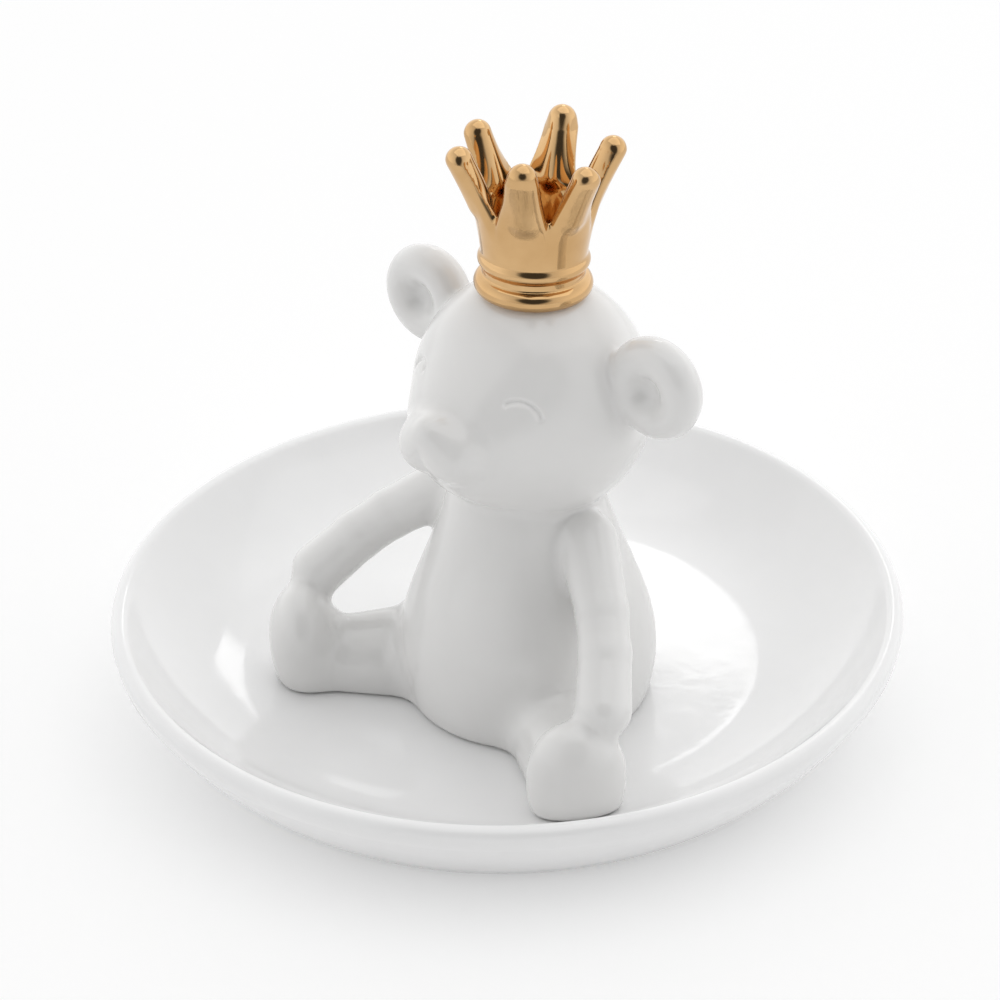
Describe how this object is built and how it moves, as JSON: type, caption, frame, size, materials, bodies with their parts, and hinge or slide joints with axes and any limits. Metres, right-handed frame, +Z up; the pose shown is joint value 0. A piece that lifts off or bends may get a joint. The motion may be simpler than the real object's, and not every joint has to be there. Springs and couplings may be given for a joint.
{
  "type": "ring dish",
  "caption": "Shallow round white glazed porcelain dish for rings, with a seated bear figure whose open gold crown of rounded points also holds a ring.",
  "frame": {"origin": "centre of the dish on the table plane, under the middle of the foot ring", "axes": "+Z up; the bear faces -Y and its left side is towards +X"},
  "size_m": [0.114, 0.114, 0.0907],
  "materials": {
    "white_glaze": "clear gloss glaze on white porcelain",
    "gold_lustre": "mirror-bright gold lustre fired over the glaze"
  },
  "bodies": {
    "root": {"dish": "white_glaze", "torso": "white_glaze", "head": "white_glaze", "left_ear": "white_glaze", "right_ear": "white_glaze", "left_arm": "white_glaze", "right_arm": "white_glaze", "left_leg": "white_glaze", "right_leg": "white_glaze", "crown": "gold_lustre"}
  },
  "joints": []
}
